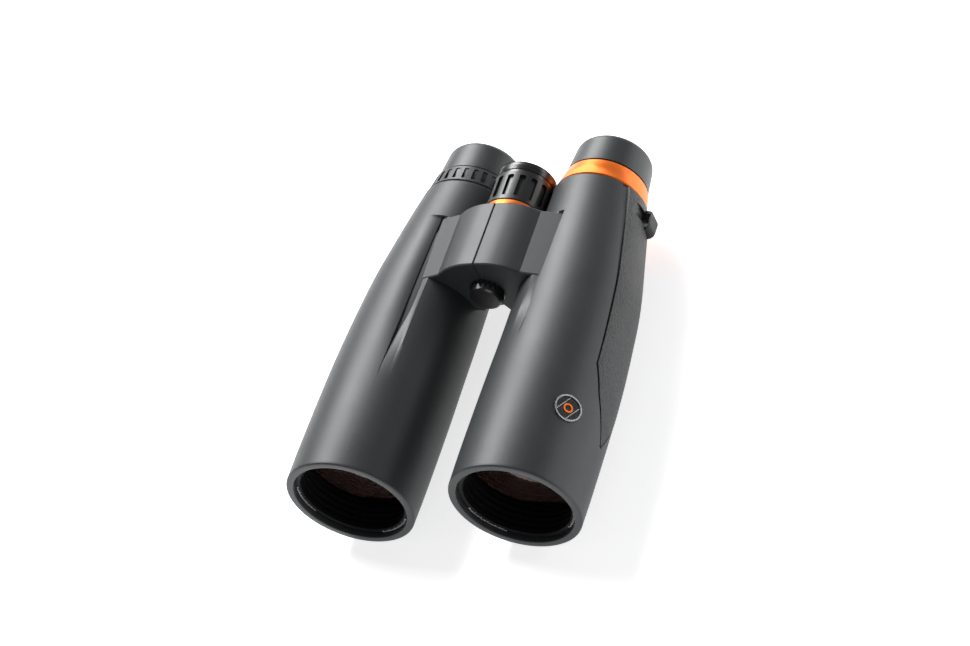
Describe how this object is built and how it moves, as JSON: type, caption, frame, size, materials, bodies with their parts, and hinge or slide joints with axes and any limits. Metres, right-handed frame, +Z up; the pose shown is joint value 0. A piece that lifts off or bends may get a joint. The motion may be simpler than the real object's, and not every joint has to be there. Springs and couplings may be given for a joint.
{
  "type": "binoculars",
  "caption": "Roof-prism binoculars with two rubber-armoured barrels on a central hinge, centre focus wheel, dioptre ring and twist-up eyecups.",
  "frame": {"origin": "under the middle of the object, on the surface it rests on", "axes": "+Z up, +Y from the objectives to the eyepieces, +X to the user's left"},
  "size_m": [0.1578, 0.223, 0.0715],
  "materials": {
    "armour": "fine-grained matt",
    "side_grip": "pebbled",
    "casting": "black-painted cast alloy",
    "glass": "coated",
    "black_rubber": "smooth",
    "orange_metal": "anodised satin",
    "bright_metal": "polished",
    "dark_plate": "gloss",
    "steel": "turned",
    "brass": "turned",
    "black_plastic": "satin",
    "black_metal": "black anodised"
  },
  "bodies": {
    "left_half": {"badge_plate": "dark_plate", "badge_ring": "bright_metal", "hinge_axle": "steel", "hinge_tension_nut": "steel", "left_armour": "armour", "left_barrel_casting": "casting", "left_bridge_cover": "armour", "left_bridge_screws": "steel", "left_eye_lens": "glass", "left_eyepiece_tube": "black_metal", "left_field_lens": "glass", "left_objective_bezel": "black_plastic", "left_objective_cell": "black_metal", "left_objective_lens_front": "glass", "left_objective_lens_rear": "glass", "left_ocular_cell": "black_metal", "left_prism_cage": "black_metal", "left_prism_front": "glass", "left_prism_rear": "glass", "left_side_grip": "side_grip", "left_strap_lug": "black_plastic", "left_trim_ring": "orange_metal", "tripod_socket": "steel"},
    "right_half": {"hinge_bushes": "brass", "right_armour": "armour", "right_barrel_casting": "casting", "right_bridge_cover": "armour", "right_bridge_screws": "steel", "right_eyepiece_tube": "black_metal", "right_objective_bezel": "black_plastic", "right_objective_cell": "black_metal", "right_objective_lens_front": "glass", "right_objective_lens_rear": "glass", "right_prism_cage": "black_metal", "right_prism_front": "glass", "right_prism_rear": "glass", "right_side_grip": "side_grip", "right_strap_lug": "black_plastic"},
    "focus_wheel": {"focus_shaft": "steel", "focus_wheel_core": "black_metal", "focus_wheel_ring": "orange_metal", "focus_wheel_grip": "black_rubber", "focus_wheel_cap": "black_plastic"},
    "focus_carriage": {"focus_carriage": "black_metal"},
    "left_focus_cell": {"left_focus_cell": "black_metal", "left_focus_lens": "glass"},
    "right_focus_cell": {"right_focus_cell": "black_metal", "right_focus_lens": "glass"},
    "dioptre_ring": {"dioptre_ring": "orange_metal"},
    "right_ocular": {"right_ocular_cell": "black_metal", "right_field_lens": "glass", "right_eye_lens": "glass"},
    "left_eyecup_guide": {"left_eyecup_guide_ring": "black_plastic"},
    "right_eyecup_guide": {"right_eyecup_guide_ring": "black_plastic"},
    "left_eyecup": {"left_eyecup_sleeve": "black_plastic", "left_eyecup_rubber": "black_rubber"},
    "right_eyecup": {"right_eyecup_sleeve": "black_plastic", "right_eyecup_rubber": "black_rubber"},
    "tripod_cap_seal": {"tripod_cap_seal": "black_rubber"},
    "tripod_cap": {"tripod_cap": "black_plastic"}
  },
  "joints": [
    {"name": "barrel_fold", "type": "hinge", "parent": "left_half", "child": "right_half", "pos_m": [0, 0.03, 0.05], "axis": [0, 1, 0], "range_deg": [-45, 0]},
    {"name": "focus_wheel_turn", "type": "hinge", "parent": "left_half", "child": "focus_wheel", "pos_m": [0, 0.06, 0.05], "axis": [0, 1, 0], "range_deg": [-220, 220]},
    {"name": "focus_carriage_slide", "type": "slide", "parent": "left_half", "child": "focus_carriage", "axis": [0, -1, 0], "range_m": [-0.0026, 0.0026]},
    {"name": "left_focus_cell_slide", "type": "slide", "parent": "left_half", "child": "left_focus_cell", "axis": [0, -1, 0], "range_m": [-0.0026, 0.0026]},
    {"name": "right_focus_cell_slide", "type": "slide", "parent": "right_half", "child": "right_focus_cell", "axis": [0, -1, 0], "range_m": [-0.0026, 0.0026]},
    {"name": "dioptre_ring_turn", "type": "hinge", "parent": "right_half", "child": "dioptre_ring", "pos_m": [-0.0384, 0.085, 0.036], "axis": [0, 1, 0], "range_deg": [-40, 40]},
    {"name": "right_ocular_slide", "type": "slide", "parent": "right_half", "child": "right_ocular", "axis": [0, 1, 0], "range_m": [-0.00085, 0.00085]},
    {"name": "left_eyecup_rise", "type": "slide", "parent": "left_half", "child": "left_eyecup_guide", "axis": [0, 1, 0], "range_m": [0, 0.009]},
    {"name": "left_eyecup_twist", "type": "hinge", "parent": "left_eyecup_guide", "child": "left_eyecup", "pos_m": [0.0384, 0.1, 0.036], "axis": [0, 1, 0], "range_deg": [0, 100]},
    {"name": "right_eyecup_rise", "type": "slide", "parent": "right_half", "child": "right_eyecup_guide", "axis": [0, 1, 0], "range_m": [0, 0.009]},
    {"name": "right_eyecup_twist", "type": "hinge", "parent": "right_eyecup_guide", "child": "right_eyecup", "pos_m": [-0.0384, 0.1, 0.036], "axis": [0, 1, 0], "range_deg": [0, 100]},
    {"name": "tripod_cap_lift", "type": "slide", "parent": "left_half", "child": "tripod_cap_seal", "axis": [0, -1, 0], "range_m": [0, 0.05]},
    {"name": "tripod_cap_turn", "type": "hinge", "parent": "tripod_cap_seal", "child": "tripod_cap", "pos_m": [0, 0.006, 0.05], "axis": [0, 1, 0], "continuous": true}
  ],
  "couplings": [
    {"joint": "focus_carriage_slide", "follows": "focus_wheel_turn", "m_per_rad": 0.00065},
    {"joint": "left_focus_cell_slide", "follows": "focus_wheel_turn", "m_per_rad": 0.00065},
    {"joint": "right_focus_cell_slide", "follows": "focus_wheel_turn", "m_per_rad": 0.00065},
    {"joint": "right_ocular_slide", "follows": "dioptre_ring_turn", "m_per_rad": 0.00115},
    {"joint": "left_eyecup_rise", "follows": "left_eyecup_twist", "m_per_rad": 0.0051},
    {"joint": "right_eyecup_rise", "follows": "right_eyecup_twist", "m_per_rad": 0.0051}
  ]
}
